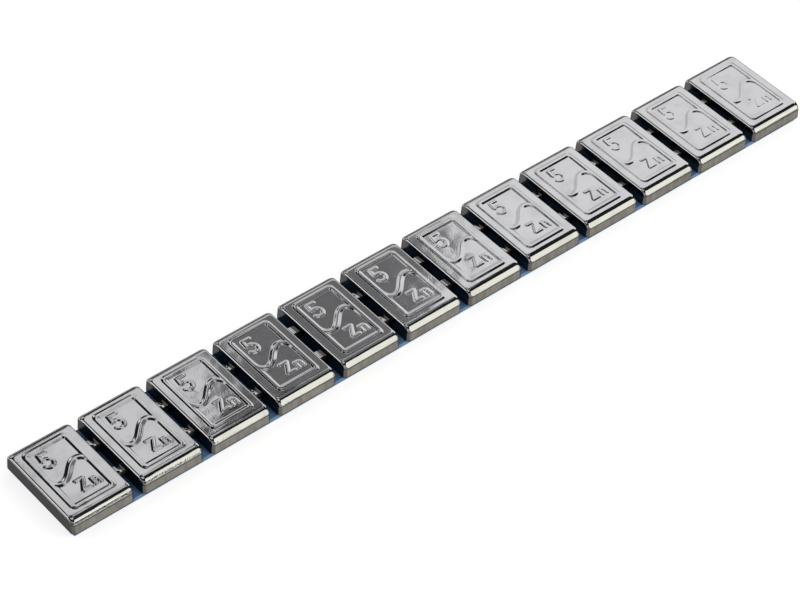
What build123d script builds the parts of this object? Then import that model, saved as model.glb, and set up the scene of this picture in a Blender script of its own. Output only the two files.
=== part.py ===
"""Strip of stick-on wheel balance weights: one snap-apart zinc casting, its foam tape and the release liner."""

import os
from math import atan2, degrees, radians, tan

from build123d import *

# Strip, in millimetres: X runs along it, Y across it, Z up from the underside of the liner
weight_count = 12
weight_length = 12.5
weight_width = 19.3
weight_gap = 1.7

# Section of one weight, measured up from its flat underside: sides, a steep slope, a gentle roll, the flat top
side_height = 2.15
slope_height = 2.9
flat_height = 3.1
side_draft = 0.1
slope_run_x = 0.2
slope_run_y = 0.95
roll_run_x = 0.4
roll_run_y = 0.75
bottom_corner_radius = 0.8
crease_corner_radius = 0.75
slope_corner_radius = 0.65
flat_corner_radius = 0.5

# Raised rib on the flat top: a frame, and an S-curved divider that parts it into two panels
rib_width = 1.05
rib_crest = 0.45
rib_height = 0.2
frame_side_margin = 1.5
frame_front_margin = 1.0
frame_back_margin = 0.7
frame_corner_radius = 1.0
divider_rise = 1.65
divider_angle = 42.0
divider_bend_radius = 2.0
panel_wide_corner = 0.9

# Break bars that hold neighbouring weights together, notched beside each weight so that they snap there
bars_per_gap = 2
bar_spacing = 7.3
bar_width = 1.7
bar_middle_height = 1.2
bar_thickness = 1.5
bar_crown = 0.95
bar_notch_depth = 0.4
bar_root = 0.4

# Foam tape and release liner, set back from the edge of the casting
tape_thickness = 0.8
tape_setback = 0.6
liner_thickness = 0.1

# Worked out from the sizes above
weight_pitch = weight_length + weight_gap
strip_length = weight_pitch * (weight_count - 1) + weight_length
casting_base = liner_thickness + tape_thickness
slope_inset_x = side_draft + slope_run_x
slope_inset_y = side_draft + slope_run_y
flat_length = weight_length - 2 * (slope_inset_x + roll_run_x)
flat_width = weight_width - 2 * (slope_inset_y + roll_run_y)
frame_length = flat_length - 2 * frame_side_margin
frame_width = flat_width - frame_front_margin - frame_back_margin
frame_shift = (frame_front_margin - frame_back_margin) / 2
divider_turn = divider_rise / tan(radians(divider_angle))
rib_flank = (rib_width - rib_crest) / 2
rib_taper = degrees(atan2(rib_flank, rib_height))
tape_length = strip_length - 2 * tape_setback
tape_width = weight_width - 2 * tape_setback


def outline(inset_x, inset_y, radius, height):
    """Plan of one weight, brought in from its sides and from its front and back."""
    plan = RectangleRounded(weight_length - 2 * inset_x, weight_width - 2 * inset_y, radius)
    return Pos(0, 0, height) * plan


def weight_blank():
    """Drafted sides, and a shoulder all round that is steep at first and then rolls on to the flat top."""
    return loft(
        [
            outline(0, 0, bottom_corner_radius, 0),
            outline(side_draft, side_draft, crease_corner_radius, side_height),
            outline(slope_inset_x, slope_inset_y, slope_corner_radius, slope_height),
            Pos(0, 0, flat_height) * RectangleRounded(flat_length, flat_width, flat_corner_radius),
        ],
        ruled=True,
    )


def divider_band():
    """S-curved band that runs level into both sides of the frame and climbs between them."""
    reach = frame_length / 2 + rib_width
    centre_line = FilletPolyline(
        (-reach, -divider_rise),
        (-divider_turn, -divider_rise),
        (divider_turn, divider_rise),
        (reach, divider_rise),
        radius=divider_bend_radius,
    )
    return trace(centre_line, rib_width)


def back_panel():
    """Field behind the divider, with a wide corner where the divider sweeps down into the frame."""
    half_length = (frame_length - rib_width) / 2
    half_width = (frame_width - rib_width) / 2
    fields = Rectangle(2 * half_length, 2 * half_width) - divider_band()
    field = Sketch() + fields.faces().sort_by(Axis.Y)[-1]
    corner = field.vertices().sort_by_distance((-half_length, rib_width / 2 - divider_rise, 0))[0]
    level_run = half_length - divider_turn - divider_bend_radius * tan(radians(divider_angle / 2))
    return fillet(corner, min(panel_wide_corner, 0.9 * level_run))


def rib_relief():
    """Frame and divider as one raised rib with sloping flanks: a low plateau less its two panels."""
    plan = RectangleRounded(frame_length + rib_width, frame_width + rib_width, frame_corner_radius)
    plateau = extrude(plan, rib_height, taper=rib_taper)
    pocket = extrude(back_panel(), rib_height, taper=-rib_taper)
    return plateau - pocket - Rot(0, 0, 180) * pocket


def break_bar():
    """Short bar across a gap: a level crown that falls to a snap notch beside each weight."""
    reach = weight_gap / 2 + side_draft
    top = bar_thickness / 2
    profile = Polygon(
        (-reach - bar_root, -top),
        (reach + bar_root, -top),
        (reach + bar_root, top - bar_notch_depth),
        (reach, top - bar_notch_depth),
        (bar_crown / 2, top),
        (-bar_crown / 2, top),
        (-reach, top - bar_notch_depth),
        (-reach - bar_root, top - bar_notch_depth),
        align=None,
    )
    return extrude(Plane.XZ * profile, bar_width / 2, both=True)


def weight_strip():
    """All the weights and the bars between them, cast in one piece."""
    weight = weight_blank() + Pos(0, frame_shift, flat_height) * rib_relief()
    weights = GridLocations(weight_pitch, 0, weight_count, 1)
    bars = GridLocations(weight_pitch, bar_spacing, weight_count - 1, bars_per_gap)
    bar = Pos(0, 0, bar_middle_height) * break_bar()
    casting = Part() + [place * weight for place in weights] + [place * bar for place in bars]
    return Pos(0, 0, casting_base) * casting


def strip_layer(thickness, height):
    """Flat layer under the casting with its lower face at height."""
    return Pos(0, 0, height + thickness / 2) * Box(tape_length, tape_width, thickness)


def main():
    """Write every piece to its own file."""
    pieces = {
        "weight_strip": weight_strip(),
        "adhesive_tape": strip_layer(tape_thickness, liner_thickness),
        "release_liner": strip_layer(liner_thickness, 0),
    }
    os.makedirs("parts", exist_ok=True)
    for name, piece in pieces.items():
        piece.label = name
        export_step(piece, f"parts/{name}.step")


main()
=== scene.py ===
from math import cos, hypot, pi, radians, sin

import bmesh
import bpy
from mathutils import Matrix, Vector


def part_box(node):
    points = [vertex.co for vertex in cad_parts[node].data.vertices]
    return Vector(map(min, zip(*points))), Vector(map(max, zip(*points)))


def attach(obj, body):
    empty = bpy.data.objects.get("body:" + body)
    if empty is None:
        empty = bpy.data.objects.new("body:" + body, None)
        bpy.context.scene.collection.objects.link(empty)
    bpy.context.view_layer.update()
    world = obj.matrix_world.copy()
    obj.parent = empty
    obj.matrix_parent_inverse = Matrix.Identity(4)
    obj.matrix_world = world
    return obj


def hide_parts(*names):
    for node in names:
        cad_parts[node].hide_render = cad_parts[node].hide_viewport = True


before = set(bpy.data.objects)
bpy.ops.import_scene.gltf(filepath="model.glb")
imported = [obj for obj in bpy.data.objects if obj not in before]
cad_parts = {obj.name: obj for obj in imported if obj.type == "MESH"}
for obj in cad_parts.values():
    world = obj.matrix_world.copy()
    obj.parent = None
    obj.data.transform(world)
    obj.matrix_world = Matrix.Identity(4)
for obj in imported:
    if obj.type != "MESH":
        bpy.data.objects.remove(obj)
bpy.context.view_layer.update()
mm = 0.001
castLow, castHigh = (Vector(corner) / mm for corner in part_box("weight_strip"))
print("frame loaded, casting", tuple(round(side, 2) for side in castHigh - castLow), "mm")

# casting, in millimetres: one block and the rib on its top

block = {
    "count": 12,
    "length": 12.5,
    "draft": 0.1,                # how far the sides lean in up to the crease
    "creaseHeight": 2.15,
    "flatHeight": 3.1,
    "frontRun": 1.75,            # width of the shoulder at front and back
    "backRun": 1.5,
    "frontRoll": 3.0,            # the higher, the flatter the shoulder starts from the top
    "backRoll": 2.3,
    "sideRadius": 0.45,          # tight rounding at the sides
    "shoulderSteps": 14,
    "bottomCorner": 0.8,
    "creaseCorner": 0.75,
    "flatCorner": 0.6,
    "cornerSegments": 7,
    "bottomSoftness": (0.12, 2),     # width and segments of the softened edge
    "creaseSoftness": (0.09, 3),
    "normalWeight": 80,              # keeps the large faces level in the shading
}
block["width"] = castHigh.y - castLow.y
block["pitch"] = (castHigh.x - castLow.x - block["length"]) / (block["count"] - 1)

rib = {
    "frameLength": 8.1,     # along the middle of the rib
    "frameWidth": 14.0,
    "frameShift": 0.15,     # the frame sits nearer the back edge
    "frameCorner": 0.55,
    # half the rib's width at foot and crest, End for the frame's front and back
    "outer": (0.5, 0.2),
    "outerEnd": (0.65, 0.15),
    "inner": (0.56, 0.15),
    "innerEnd": (0.7, 0.15),
    "divider": (0.68, 0.12),
    "wornShare": 0.42,      # of the solid's rib is left in the soft casting
    "landing": 0.05,        # level ring at the foot, keeps the flats flat
    "steps": 8,
    "softness": 0.05,       # of the flank's foot and crest
    "rise": 1.65,           # S-curved divider: half its climb
    "reach": 2.45,          # and half the stretch it climbs over
    "dividerCuts": 30,
    "sweep": 1.6,           # how far up the frame the divider's end sweeps
    "sweepCuts": 9,
    "tightCorner": 0.22,
    "tightSegments": 5,
}
rib["height"] = rib["wornShare"] * (castHigh.z - castLow.z - block["flatHeight"])


def roundedPlate(bm, length, width, radius, shift=0.0):
    corners = bmesh.ops.create_grid(bm, x_segments=1, y_segments=1, size=0.5)["verts"]
    bmesh.ops.scale(bm, vec=(length, width, 1), verts=corners)
    bmesh.ops.translate(bm, vec=(0, shift, 0), verts=corners)
    rounded = bmesh.ops.bevel(bm, geom=corners, offset=radius, affect="VERTICES",
                              segments=block["cornerSegments"], profile=0.5, material=-1)
    return rounded["verts"][0].link_faces[0]


def loftPlates(bm, plates, heights):
    # joins each plate's rim to the next one, with the plates well apart, then sets their heights
    rims = [list(plate.edges) for plate in plates]
    rings = [list(plate.verts) for plate in plates]
    spread = [index * block["length"] for index in range(len(plates))]
    for ring, level in zip(rings, spread):
        bmesh.ops.translate(bm, vec=(0, 0, level), verts=ring)
    bmesh.ops.delete(bm, geom=plates[1:-1], context="FACES_ONLY")
    for lower, upper in zip(rims, rims[1:]):
        bmesh.ops.bridge_loops(bm, edges=lower + upper)
    for ring, level, height in zip(rings, spread, heights):
        bmesh.ops.translate(bm, vec=(0, 0, height - level), verts=ring)
    bmesh.ops.recalc_face_normals(bm, faces=bm.faces[:])
    return rims


def softenEdges(bm, edges, offset, segments):
    bmesh.ops.bevel(bm, geom=edges, offset=offset, affect="EDGES", segments=segments,
                    profile=0.5, material=-1)


def arcPoints(centre, radius, start, end, count):
    angles = (radians(start + (end - start) * index / (count - 1)) for index in range(count))
    return [(centre[0] + radius[0] * cos(angle), centre[1] + radius[1] * sin(angle)) for angle in angles]


def dividerEdge(share, half):
    # point beside the divider's middle line, half a rib to its back side
    x = rib["reach"] * share
    y = rib["rise"] * sin(pi / 2 * share)
    slope = rib["rise"] / rib["reach"] * pi / 2 * cos(pi / 2 * share)
    away = half / hypot(1, slope)
    return x - slope * away, y + away


def panelPlate(bm, half, endHalf, dividerHalf):
    # field behind the divider: a rectangle whose front edge follows the S-curve
    halfLength = rib["frameLength"] / 2 - half
    back = rib["frameWidth"] / 2 - endHalf
    growth = rib["inner"][0] - half      # corners open up towards the crest
    sweep = rib["sweep"] + growth
    points = arcPoints((-rib["reach"], dividerHalf - rib["rise"] + sweep),
                       (halfLength - rib["reach"], sweep), 180, 270, rib["sweepCuts"])
    stretch = 1 + halfLength / rib["reach"]
    shares = (stretch * cut / rib["dividerCuts"] - 1 for cut in range(1, rib["dividerCuts"]))
    points += [dividerEdge(share, dividerHalf) for share in shares]
    points.append((halfLength, dividerEdge(stretch - 1, dividerHalf)[1]))
    points += [(halfLength, back), (-halfLength, back)]
    verts = [bm.verts.new((x, y, 0)) for x, y in points]
    bm.faces.new(verts)
    tight = bmesh.ops.bevel(bm, geom=verts[-3:], offset=rib["tightCorner"] + growth, affect="VERTICES",
                            segments=rib["tightSegments"], profile=0.5, material=-1)
    return tight["verts"][0].link_faces[0]


def ribProfile(foot, crest):
    # half widths up one flank, from its level foot to the crest
    yield foot + rib["landing"]
    for step in range(rib["steps"] + 1):
        yield foot + (crest - foot) * step / rib["steps"]


def ribHeights():
    # heights that go with those half widths
    yield 0.0
    for step in range(rib["steps"] + 1):
        share = step / rib["steps"]
        yield rib["height"] * (share - rib["softness"] * sin(2 * pi * share))


# casting: raised numeral and metal symbol, as soft strokes

stroke = {
    "half": 0.48,           # from the middle of a stroke to its foot
    "height": 0.056,
    "grid": 0.1,
}
five = {
    "centre": (-1.65, 4.05),
    "patch": (3.1, 4.3),
    "flag": [(0.85, 1.65), (-0.58, 1.65), (-0.74, 0.15)],
    "bowl": ((-0.04, -0.65), (0.98, 1.0), 118, -148, 15),   # centre, radii, first and last angle, points
}
symbol = {
    "centre": (1.1, -3.78),
    "patch": (4.42, 3.4),
    "capital": [(-1.7, 1.2), (-0.25, 1.2), (-1.7, -1.2), (-0.2, -1.2)],
    "stem": [(0.72, 0.15), (0.72, -1.2)],
    "hump": ((1.22, -0.5), (0.5, 0.62), 150, 0, 7),
    "leg": (1.72, -1.2),
}


def fiveStrokes():
    return [five["flag"] + arcPoints(*five["bowl"])]


def symbolStrokes():
    return [symbol["capital"], symbol["stem"], arcPoints(*symbol["hump"]) + [symbol["leg"]]]


def strokeDistance(point, path):
    nearest = stroke["half"]
    for start, end in zip(path, path[1:]):
        run = Vector(end) - Vector(start)
        share = max(0.0, min(1.0, (point - Vector(start)).dot(run) / run.length_squared))
        nearest = min(nearest, (point - Vector(start) - run * share).length)
    return nearest


def strokePatch(bm, mark, strokes, height):
    # a fine level grid, lifted near the strokes; returns its rim
    wide, deep = mark["patch"]
    verts = bmesh.ops.create_grid(bm, x_segments=round(wide / stroke["grid"]),
                                  y_segments=round(deep / stroke["grid"]), size=0.5)["verts"]
    bmesh.ops.scale(bm, vec=(wide, deep, 1), verts=verts)
    for vert in verts:
        distance = min(strokeDistance(vert.co.xy, path) for path in strokes)
        share = max(0.0, 1 - distance / stroke["half"])
        vert.co.z = stroke["height"] * share * share * (3 - 2 * share)
    x, y = mark["centre"]
    bmesh.ops.translate(bm, vec=(x, y + rib["frameShift"], height), verts=verts)
    patchEdges = {edge for vert in verts for edge in vert.link_edges}
    return [edge for edge in patchEdges if edge.is_boundary]


def shoulderSteps():
    # how far the sides, front and back lean in, share of the way up, and depth below the flat top
    drop = block["flatHeight"] - block["creaseHeight"]
    radius = block["sideRadius"]
    for step in range(block["shoulderSteps"] + 1):
        share = step / block["shoulderSteps"]
        fall = (1 - share) ** block["frontRoll"]
        below = drop * fall
        side = radius - (radius ** 2 - max(0.0, radius - below) ** 2) ** 0.5
        front = block["frontRun"] * share
        back = block["backRun"] * (1 - fall ** (1 / block["backRoll"]))
        yield side, front, back, share, below


def blockBody(bm):
    # drafted sides and a rolled shoulder; returns the rim of the flat top
    plates = [roundedPlate(bm, block["length"], block["width"], block["bottomCorner"])]
    heights = [castLow.z]
    for side, front, back, share, below in shoulderSteps():
        corner = block["creaseCorner"] + (block["flatCorner"] - block["creaseCorner"]) * share
        plates.append(roundedPlate(bm, block["length"] - 2 * (block["draft"] + side),
                                   block["width"] - 2 * block["draft"] - front - back, corner,
                                   (front - back) / 2))
        heights.append(castLow.z + block["flatHeight"] - below)
    rims = loftPlates(bm, plates, heights)
    softenEdges(bm, rims[0], *block["bottomSoftness"])
    softenEdges(bm, rims[1], *block["creaseSoftness"])
    flat = max(bm.faces, key=lambda face: face.normal.z * face.calc_area())
    rim = list(flat.edges)
    bmesh.ops.delete(bm, geom=[flat], context="FACES_ONLY")
    return rim


def ribRelief(bm, flatRim):
    # frame and divider as lofts of rims, with every level stretch filled in between
    flatTop = castLow.z + block["flatHeight"]
    heights = [flatTop + height for height in ribHeights()]
    outsides = zip(ribProfile(*rib["outer"]), ribProfile(*rib["outerEnd"]))
    insides = list(zip(*(ribProfile(*rib[flank]) for flank in ("inner", "innerEnd", "divider"))))
    outer = [roundedPlate(bm, rib["frameLength"] + 2 * half, rib["frameWidth"] + 2 * endHalf,
                          rib["frameCorner"] + half, rib["frameShift"]) for half, endHalf in outsides]
    back = [panelPlate(bm, *halves) for halves in insides]
    front = [panelPlate(bm, *halves) for halves in insides]
    turned = [vert for plate in front for vert in plate.verts]
    bmesh.ops.rotate(bm, cent=(0, 0, 0), matrix=Matrix.Rotation(pi, 3, "Z"), verts=turned)
    moved = [vert for plate in back + front for vert in plate.verts]
    bmesh.ops.translate(bm, vec=(0, rib["frameShift"], 0), verts=moved)
    rims = []
    for plates in (outer, back, front):
        ends = [plates[0], plates[-1]]
        rims.append(loftPlates(bm, plates, heights))
        bmesh.ops.delete(bm, geom=ends, context="FACES_ONLY")
    fiveRim = strokePatch(bm, five, fiveStrokes(), flatTop)
    symbolRim = strokePatch(bm, symbol, symbolStrokes(), flatTop)
    outerRims, backRims, frontRims = rims
    fills = [flatRim + outerRims[0],                            # margin round the frame
             outerRims[-1] + backRims[-1] + frontRims[-1],      # crest
             backRims[0] + fiveRim,                             # floors of the two panels
             frontRims[0] + symbolRim]
    for edges in fills:
        bmesh.ops.triangle_fill(bm, use_beauty=True, edges=edges, normal=(0, 0, 1))


# casting: break bars between the blocks

bar = {
    "rows": (-3.65, 3.65),
    "width": 1.7,
    "thickness": 1.6,
    "middle": 1.25,              # above the underside of the blocks
    "crown": 0.95,               # falls to a notch beside each block
    "lean": (0.033, 0.03),       # from its middle the crown falls this much to the right and to the back
    "notch": 0.4,
    "root": 0.4,                 # how far it reaches into each block
    "softness": (0.1, 3),        # width and segments
    "cutTolerance": 1e-6,
}


def breakBar(bm):
    # a cube, cut where the crown and the notches end, with its long edges softened
    reach = (block["pitch"] - block["length"]) / 2 + block["draft"]
    verts = bmesh.ops.create_cube(bm, size=1.0)["verts"]
    bmesh.ops.scale(bm, vec=(2 * (reach + bar["root"]), bar["width"], bar["thickness"]), verts=verts)
    halfCrown = bar["crown"] / 2
    for x in (-reach, -halfCrown, halfCrown, reach):
        bmesh.ops.bisect_plane(bm, geom=bm.verts[:] + bm.edges[:] + bm.faces[:],
                               dist=bar["cutTolerance"], plane_co=(x, 0, 0), plane_no=(1, 0, 0))
    for vert in bm.verts:
        if vert.co.z > 0:
            onCrown = abs(vert.co.x) < (halfCrown + reach) / 2
            vert.co.z -= bar["lean"][0] * vert.co.x / halfCrown if onCrown else bar["notch"]
            vert.co.z -= bar["lean"][1] * vert.co.y / (bar["width"] / 2)
    spans = [(edge, abs(edge.verts[0].co.x - edge.verts[1].co.x)) for edge in bm.edges]
    softenEdges(bm, [edge for edge, span in spans if span > bar["softness"][0]], *bar["softness"])
    bmesh.ops.translate(bm, vec=(0, 0, castLow.z + bar["middle"]), verts=bm.verts[:])


def repeated(bm, places):
    # the shape, modelled at the origin, once at each place
    original = bm.verts[:] + bm.edges[:] + bm.faces[:]
    placed = [bmesh.ops.duplicate(bm, geom=original)["geom"] for place in places[1:]]
    for geom, place in zip([original] + placed, places):
        verts = [item for item in geom if isinstance(item, bmesh.types.BMVert)]
        bmesh.ops.translate(bm, vec=place, verts=verts)


def meshObject(name, bm, scale=1.0):
    bmesh.ops.scale(bm, vec=(scale, scale, scale), verts=bm.verts[:])
    bmesh.ops.recalc_face_normals(bm, faces=bm.faces[:])
    for face in bm.faces:
        face.smooth = True
    mesh = bpy.data.meshes.new(name)
    bm.to_mesh(mesh)
    bm.free()
    piece = bpy.data.objects.new(name, mesh)
    bpy.context.scene.collection.objects.link(piece)
    return piece


def weightedNormals(piece):
    finish = piece.modifiers.new("levelFaces", "WEIGHTED_NORMAL")
    finish.weight = block["normalWeight"]
    finish.keep_sharp = True


def castingPiece():
    blocks = bmesh.new()
    ribRelief(blocks, blockBody(blocks))
    firstBlock = castLow.x + block["length"] / 2
    repeated(blocks, [(firstBlock + index * block["pitch"], 0, 0) for index in range(block["count"])])
    bars = bmesh.new()
    breakBar(bars)
    firstGap = firstBlock + block["pitch"] / 2
    repeated(bars, [(firstGap + index * block["pitch"], row, 0)
                    for index in range(block["count"] - 1) for row in bar["rows"]])
    barMesh = bpy.data.meshes.new("bars")
    bars.to_mesh(barMesh)
    bars.free()
    blocks.from_mesh(barMesh)
    bpy.data.meshes.remove(barMesh)
    piece = meshObject("weightCasting", blocks, mm)
    weightedNormals(piece)
    return piece


casting = castingPiece()
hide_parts("weight_strip")
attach(casting, "root")
print("casting modelled,", len(casting.data.polygons), "faces")

# finishes

zinc = {
    "top": (0.54, 0.54, 0.55, 1),
    "topWorn": (0.48, 0.48, 0.495, 1),
    # painted shade: the sides darker than the tops; the worn streaks on them are wear
    "side": (0.3, 0.287, 0.26, 1),
    "sideWorn": (0.22, 0.209, 0.189, 1),
    "end": (0.12, 0.118, 0.113, 1),          # painted shade on the sides that face along the strip
    "shaded": (0.07, 0.068, 0.062, 1),       # under the front crease and at the foot of all sides
    "edgeTint": (0.35, 0.35, 0.36, 1),
    "topRoughness": 0.075,
    "frontRoughness": 0.4,
    "endRoughness": 0.16,
    "unevenness": (0.8, 1.3),                # of the roughness
    "speckle": (2600, 3.0),                  # scale and detail of each pattern
    "cloud": (260, 4.0),
    "streaks": (1400, 3.0),
    "streakStretch": (1.0, 1.0, 0.25),
    "wave": (230, 1.0),
    "grain": (3000, 2.0),
    "cloudRange": (0.3, 0.7),
    "cloudWear": (0.45, 0.7),
    "streakWear": (0.35, 0.7),
    "upFacing": (0.25, 0.5),                 # how far a face turns before it counts
    "endFacing": (0.15, 0.5),
    "frontFacing": (-0.5, -0.3),
    "border": 0.15,                          # unevenness of the border between tops and sides
    "farShade": 0.9,                         # how much sooner the shoulders at back and right take the side colour and roughness: painted shade
    "creaseShade": (2.78 * mm, 2.92 * mm),   # heights above the floor
    "footShade": (1.0 * mm, 1.3 * mm),
    "ragged": (3.05 * mm, 3.2 * mm, 3.5 * mm),
    "raggedStretch": 48 * mm,                # the front crease is ragged from the first block on
    "raggedDepth": 0.4 * mm,
    "waveDepth": 0.05 * mm,
    "grainDepth": 0.003 * mm,
}


def nodeMaterial(name):
    material = bpy.data.materials.new(name)
    material.use_nodes = True
    nodes = material.node_tree.nodes
    return material, nodes, material.node_tree.links, nodes["Principled BSDF"]


def noiseNode(nodes, links, place, scale, detail, stretch=None):
    noise = nodes.new("ShaderNodeTexNoise")
    noise.inputs["Scale"].default_value = scale
    noise.inputs["Detail"].default_value = detail
    if stretch:
        mapping = nodes.new("ShaderNodeMapping")
        mapping.inputs["Scale"].default_value = stretch
        links.new(place.outputs["Object"], mapping.inputs["Vector"])
        links.new(mapping.outputs["Vector"], noise.inputs["Vector"])
    else:
        links.new(place.outputs["Object"], noise.inputs["Vector"])
    return noise.outputs["Fac"]


def rangeNode(nodes, links, value, low, high, newLow=0.0, newHigh=1.0):
    node = nodes.new("ShaderNodeMapRange")
    limits = {"From Min": low, "From Max": high, "To Min": newLow, "To Max": newHigh}
    for socket, number in limits.items():
        node.inputs[socket].default_value = number
    links.new(value, node.inputs["Value"])
    return node.outputs["Result"]


def mathNode(nodes, links, operation, *values):
    node = nodes.new("ShaderNodeMath")
    node.operation = operation
    for socket, value in zip(node.inputs, values):
        if isinstance(value, (int, float)):
            socket.default_value = value
        else:
            links.new(value, socket)
    return node.outputs[0]


def mixNode(nodes, links, factor, first, second):
    node = nodes.new("ShaderNodeMix")
    node.data_type = "RGBA"
    links.new(factor, node.inputs["Factor"])
    for socket, value in ((node.inputs["A"], first), (node.inputs["B"], second)):
        if isinstance(value, tuple):
            socket.default_value = value
        else:
            links.new(value, socket)
    return node.outputs["Result"]


def bumpNode(nodes, links, height, distance, under=None):
    node = nodes.new("ShaderNodeBump")
    node.inputs["Distance"].default_value = distance
    links.new(height, node.inputs["Height"])
    if under:
        links.new(under, node.inputs["Normal"])
    return node.outputs["Normal"]


def zincFinish():
    # painted light and shade: the top colour where it faces up, painted shade on the sides, ends, shoulders
    # at back and right, under the front crease and at the foot; a ragged front crease on the first blocks
    material, nodes, links, shader = nodeMaterial("brightZinc")
    place = nodes.new("ShaderNodeTexCoord")
    where = nodes.new("ShaderNodeSeparateXYZ")
    links.new(place.outputs["Object"], where.inputs[0])
    facing = nodes.new("ShaderNodeSeparateXYZ")
    links.new(place.outputs["Normal"], facing.inputs[0])
    speckle = noiseNode(nodes, links, place, *zinc["speckle"])
    cloud = noiseNode(nodes, links, place, *zinc["cloud"])
    streaks = noiseNode(nodes, links, place, *zinc["streaks"], zinc["streakStretch"])

    # tops against sides: the sides take a darker colour, painted shade, and the shoulders at back and right
    # take it sooner
    away = mathNode(nodes, links, "ADD", facing.outputs["X"], facing.outputs["Y"])
    away = mathNode(nodes, links, "MAXIMUM", away, 0.0)
    away = mathNode(nodes, links, "MULTIPLY", away, -zinc["farShade"])
    upward = mathNode(nodes, links, "ADD", facing.outputs["Z"], away)
    border = rangeNode(nodes, links, speckle, 0, 1, -zinc["border"], zinc["border"])
    upward = mathNode(nodes, links, "ADD", upward, border)
    topVersusPaintedShade = rangeNode(nodes, links, upward, *zinc["upFacing"])
    sideways = mathNode(nodes, links, "ABSOLUTE", facing.outputs["X"])
    endwise = rangeNode(nodes, links, sideways, *zinc["endFacing"])
    forward = rangeNode(nodes, links, facing.outputs["Y"], *zinc["frontFacing"], 1, 0)

    # colour: painted shade on the sides, darker on the ends, and darkest under the front crease and at the
    # foot
    clouded = rangeNode(nodes, links, cloud, *zinc["cloudWear"])
    top = mixNode(nodes, links, clouded, zinc["top"], zinc["topWorn"])
    streaked = rangeNode(nodes, links, streaks, *zinc["streakWear"])
    side = mixNode(nodes, links, streaked, zinc["side"], zinc["sideWorn"])
    side = mixNode(nodes, links, endwise, side, zinc["end"])
    crease = rangeNode(nodes, links, where.outputs["Z"], *zinc["creaseShade"])
    crease = mathNode(nodes, links, "MULTIPLY", crease, forward)
    foot = rangeNode(nodes, links, where.outputs["Z"], *zinc["footShade"], 1, 0)
    side = mixNode(nodes, links, mathNode(nodes, links, "MAXIMUM", crease, foot), side, zinc["shaded"])
    links.new(mixNode(nodes, links, topVersusPaintedShade, side, top), shader.inputs["Base Color"])
    shader.inputs["Metallic"].default_value = 1.0
    shader.inputs["Specular Tint"].default_value = zinc["edgeTint"]

    # roughness
    dull = rangeNode(nodes, links, endwise, 0, 1, zinc["frontRoughness"], zinc["endRoughness"])
    rough = rangeNode(nodes, links, topVersusPaintedShade, 0, 1, 0, zinc["topRoughness"])
    links.new(dull, rough.node.inputs["To Min"])
    uneven = rangeNode(nodes, links, cloud, *zinc["cloudRange"], *zinc["unevenness"])
    links.new(mathNode(nodes, links, "MULTIPLY", rough, uneven), shader.inputs["Roughness"])

    # slow waves, fine grain and the ragged crease
    wave = bumpNode(nodes, links, noiseNode(nodes, links, place, *zinc["wave"]), zinc["waveDepth"])
    grain = bumpNode(nodes, links, noiseNode(nodes, links, place, *zinc["grain"]), zinc["grainDepth"], wave)
    low, middle, high = zinc["ragged"]
    rising = rangeNode(nodes, links, where.outputs["Z"], low, middle)
    falling = rangeNode(nodes, links, where.outputs["Z"], middle, high, 1, 0)
    first = castLow.x * mm
    fading = rangeNode(nodes, links, where.outputs["X"], first, first + zinc["raggedStretch"], 1, 0)
    torn = mathNode(nodes, links, "MULTIPLY", rising, falling)
    for share in (fading, forward, speckle):
        torn = mathNode(nodes, links, "MULTIPLY", torn, share)
    links.new(bumpNode(nodes, links, torn, zinc["raggedDepth"], grain), shader.inputs["Normal"])
    return material


tape = {
    "face": (0.22, 0.45, 0.86, 1),
    "faceWorn": (0.13, 0.31, 0.68, 1),
    # painted shade: the cut edge a little darker than the face
    "cutEdge": (0.2, 0.36, 0.7, 1),
    "cell": (0.3, 0.48, 0.82, 1),
    "roughness": (0.35, 0.6),
    "cells": 5000,               # scale of the foam's cells
    "cloud": (500, 3.0),         # scale and detail
    "cloudRange": (0.3, 0.7),
    "cloudWear": (0.35, 0.7),
    "upFacing": (0.3, 0.7),
    "pit": 0.06 * mm,
}


def foamFinish():
    # blue face; the cut edges a little darker, painted shade, with the foam's cells
    material, nodes, links, shader = nodeMaterial("foamTape")
    place = nodes.new("ShaderNodeTexCoord")
    facing = nodes.new("ShaderNodeSeparateXYZ")
    links.new(place.outputs["Normal"], facing.inputs[0])
    foam = nodes.new("ShaderNodeTexVoronoi")
    foam.inputs["Scale"].default_value = tape["cells"]
    links.new(place.outputs["Object"], foam.inputs["Vector"])
    cells = foam.outputs["Distance"]
    cloud = noiseNode(nodes, links, place, *tape["cloud"])
    worn = rangeNode(nodes, links, cloud, *tape["cloudWear"])
    face = mixNode(nodes, links, worn, tape["face"], tape["faceWorn"])
    cut = mixNode(nodes, links, cells, tape["cutEdge"], tape["cell"])
    level = rangeNode(nodes, links, facing.outputs["Z"], *tape["upFacing"])
    links.new(mixNode(nodes, links, level, cut, face), shader.inputs["Base Color"])
    rough = rangeNode(nodes, links, cloud, *tape["cloudRange"], *tape["roughness"])
    links.new(rough, shader.inputs["Roughness"])
    links.new(bumpNode(nodes, links, cells, tape["pit"]), shader.inputs["Normal"])
    return material


liner = {
    "film": (0.42, 0.58, 0.8, 1),
    "shade": (0.34, 0.5, 0.74, 1),
    "roughness": (0.2, 0.38),
    "mottle": (300, 3.0),        # scale and detail
    "mottleRange": (0.3, 0.7),
    "ripple": (420, 1.0),
    "rippleStretch": (0.3, 1.0, 1.0),
    "rippleDepth": 0.03 * mm,
}


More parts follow.
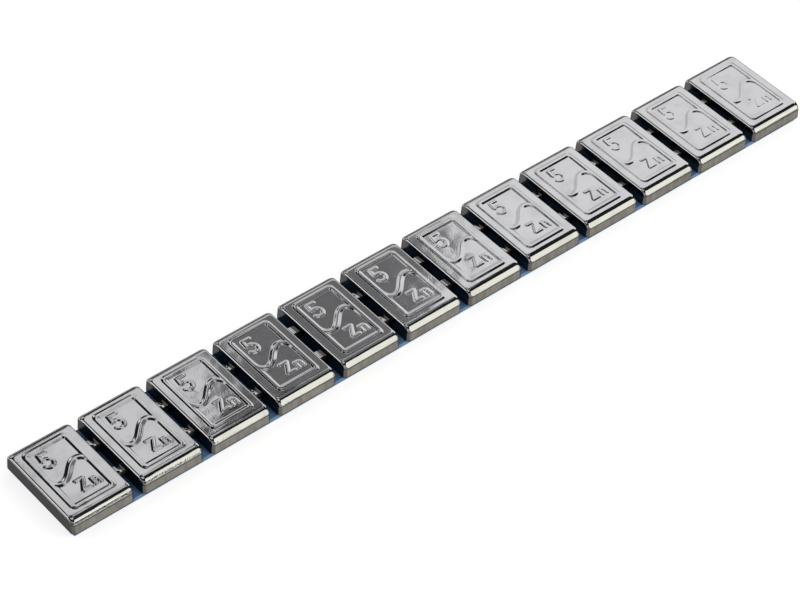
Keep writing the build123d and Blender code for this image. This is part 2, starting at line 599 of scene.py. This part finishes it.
def filmFinish():
    material, nodes, links, shader = nodeMaterial("linerFilm")
    place = nodes.new("ShaderNodeTexCoord")
    mottle = noiseNode(nodes, links, place, *liner["mottle"])
    ripple = noiseNode(nodes, links, place, *liner["ripple"], liner["rippleStretch"])
    links.new(mixNode(nodes, links, mottle, liner["film"], liner["shade"]), shader.inputs["Base Color"])
    rough = rangeNode(nodes, links, mottle, *liner["mottleRange"], *liner["roughness"])
    links.new(rough, shader.inputs["Roughness"])
    links.new(bumpNode(nodes, links, ripple, liner["rippleDepth"]), shader.inputs["Normal"])
    return material


def setMaterial(piece, material):
    piece.data.materials.clear()
    piece.data.materials.append(material)


setMaterial(casting, zincFinish())
setMaterial(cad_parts["adhesive_tape"], foamFinish())
setMaterial(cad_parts["release_liner"], filmFinish())
print("finishes set")

# floor, light and camera

studio = {
    "floorColour": (0.86, 0.86, 0.86, 1),
    "floorRoughness": 0.9,
    "floorLift": 0.72,           # makes it white to the camera and in reflections
    "floorSize": 2.0,
    "floorGap": 0.02 * mm,       # below the liner
    "world": (0.018, 0.018, 0.019, 1),
    "white": (1, 1, 1),
    "distance": 0.7,             # of the cards from the strip
    "edgeDistance": 0.8,
}
camera = {
    "place": (-244.98 * mm, -260.07 * mm, 351.53 * mm),
    "azimuth": 42.46,            # forward, from +Y towards +X
    "elevation": 44.92,
    "roll": 3.28,
    "lens": 126.67,
    "sensor": 36,
}
# cards that the tops and their ribs mirror, round one dim patch, placed across and up from the mirrored view
cards = {
    "nearCard": {"across": -0.1275, "up": 0.0525, "size": (0.089, 0.165), "level": 1.0},
    "leftStrip": {"across": -0.2324, "up": 0.2805, "size": (0.06, 0.23), "turn": -40.4, "level": 1.0},
    "upperCard": {"across": -0.0155, "up": 0.2175, "size": (0.085, 0.19), "turn": 35.3, "level": 0.85},
    "ridgeCard": {"across": 0.03, "up": 0.084, "size": (0.1, 0.032), "level": 1.0},
    "greyCard": {"across": 0.123, "up": 0.222, "size": (0.115, 0.3), "turn": 35.3, "level": 0.22},
    "farCard": {"across": 0.231, "up": -0.185, "size": (0.438, 0.47), "level": 1.15},
    "underCard": {"across": -0.08, "up": -0.195, "size": (0.184, 0.33), "level": 0.85},
    "lowCard": {"across": -0.216, "up": -0.26, "size": (0.088, 0.12), "level": 0.9},
    "stripCard": {"across": -0.276, "up": -0.0475, "size": (0.208, 0.055), "level": 1.1},
    "dimPatch": {"across": -0.0355, "up": 0.0175, "size": (0.095, 0.095), "level": 0.2},
}
# cards that the front shoulders and the left edges mirror
edgeCards = {
    "shoulderCard": {"towards": (0.477, -0.70, 0.53), "size": (0.6, 0.66), "level": 1.45,
                     "colour": (1.0, 0.99, 0.86)},
    "leftCard": {"towards": (-0.706, 0.522, 0.478), "size": (0.5, 0.4), "level": 1.3},
}
# dim cards that the tops mirror only when seen from elsewhere
fillCards = {
    "overheadFill": {"towards": (0, 0, 1), "size": (0.36, 0.36), "level": 0.7},
    "backLeftFill": {"towards": (0.82, -0.56, 0.24), "size": (0.34, 0.26), "level": 0.6},
    "backRightFill": {"towards": (-0.66, -0.66, 0.36), "size": (0.6, 0.4), "level": 0.6},
    "backFill": {"towards": (0, -0.9, 0.42), "size": (0.5, 0.4), "level": 0.6},
    "frontFill": {"towards": (0, 0.9, 0.42), "size": (0.4, 0.35), "level": 0.6},
    "rightFill": {"towards": (-0.9, 0, 0.42), "size": (0.45, 0.4), "level": 0.6},
}


def floorFinish():
    material, nodes, links, shader = nodeMaterial("paleFloor")
    shader.inputs["Base Color"].default_value = studio["floorColour"]
    shader.inputs["Roughness"].default_value = studio["floorRoughness"]
    shader.inputs["Emission Color"].default_value = (*studio["white"], 1)
    path = nodes.new("ShaderNodeLightPath")
    seen = mathNode(nodes, links, "ADD", path.outputs["Is Camera Ray"], path.outputs["Is Glossy Ray"])
    seen = mathNode(nodes, links, "ADD", seen, path.outputs["Is Transmission Ray"])
    lift = rangeNode(nodes, links, seen, 0, 1, 0, studio["floorLift"])
    links.new(lift, shader.inputs["Emission Strength"])
    return material


def paleFloor():
    bm = bmesh.new()
    bmesh.ops.create_grid(bm, x_segments=1, y_segments=1, size=studio["floorSize"])
    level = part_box("release_liner")[0][2] - studio["floorGap"]
    bmesh.ops.translate(bm, vec=(0, 0, level), verts=bm.verts[:])
    floor = meshObject("floor", bm)
    setMaterial(floor, floorFinish())


def cardLamp(name, card, place, back, up):
    lamp = bpy.data.lights.new(name, "AREA")
    lamp.shape = "RECTANGLE"
    lamp.size, lamp.size_y = card["size"]
    lamp.energy = card["level"] * pi * lamp.size * lamp.size_y      # level is the card's own brightness
    lamp.color = card.get("colour", studio["white"])
    holder = bpy.data.objects.new(name, lamp)
    side = Vector(up).cross(back).normalized()
    turn = Matrix((side, back.cross(side), back)).transposed()
    holder.matrix_world = Matrix.Translation(place) @ turn.to_4x4()
    bpy.context.scene.collection.objects.link(holder)


def viewCamera():
    lens = bpy.data.cameras.new("photoView")
    lens.lens = camera["lens"]
    lens.sensor_width = camera["sensor"]
    view = bpy.data.objects.new("photoView", lens)
    turn = (Matrix.Rotation(radians(-camera["azimuth"]), 4, "Z")
            @ Matrix.Rotation(radians(90 - camera["elevation"]), 4, "X")
            @ Matrix.Rotation(radians(camera["roll"]), 4, "Z"))
    view.matrix_world = Matrix.Translation(camera["place"]) @ turn
    bpy.context.scene.collection.objects.link(view)
    bpy.context.scene.camera = view


def mirroredView():
    # directions of the view after it bounces off the flat tops
    azimuth, elevation = radians(camera["azimuth"]), radians(camera["elevation"])
    along = Vector((sin(azimuth) * cos(elevation), cos(azimuth) * cos(elevation), sin(elevation)))
    across = Vector((cos(azimuth), -sin(azimuth), 0))
    return along, across, across.cross(along)


def studioLight():
    along, across, up = mirroredView()
    for name, card in cards.items():
        place = along * studio["distance"] + across * card["across"] + up * card["up"]
        turn = radians(card.get("turn", 0))
        upright = up * cos(turn) + across * sin(turn)
        cardLamp(name, card, place, along, upright)
    for name, card in (edgeCards | fillCards).items():
        back = Vector(card["towards"]).normalized()
        cardLamp(name, card, back * studio["edgeDistance"], back, (0, 1, 0))
    world = bpy.data.worlds.new("studio")
    world.use_nodes = True
    world.node_tree.nodes["Background"].inputs["Color"].default_value = studio["world"]
    bpy.context.scene.world = world


paleFloor()
studioLight()
viewCamera()
bpy.context.scene.view_settings.view_transform = "Standard"
print("floor, light and camera set")
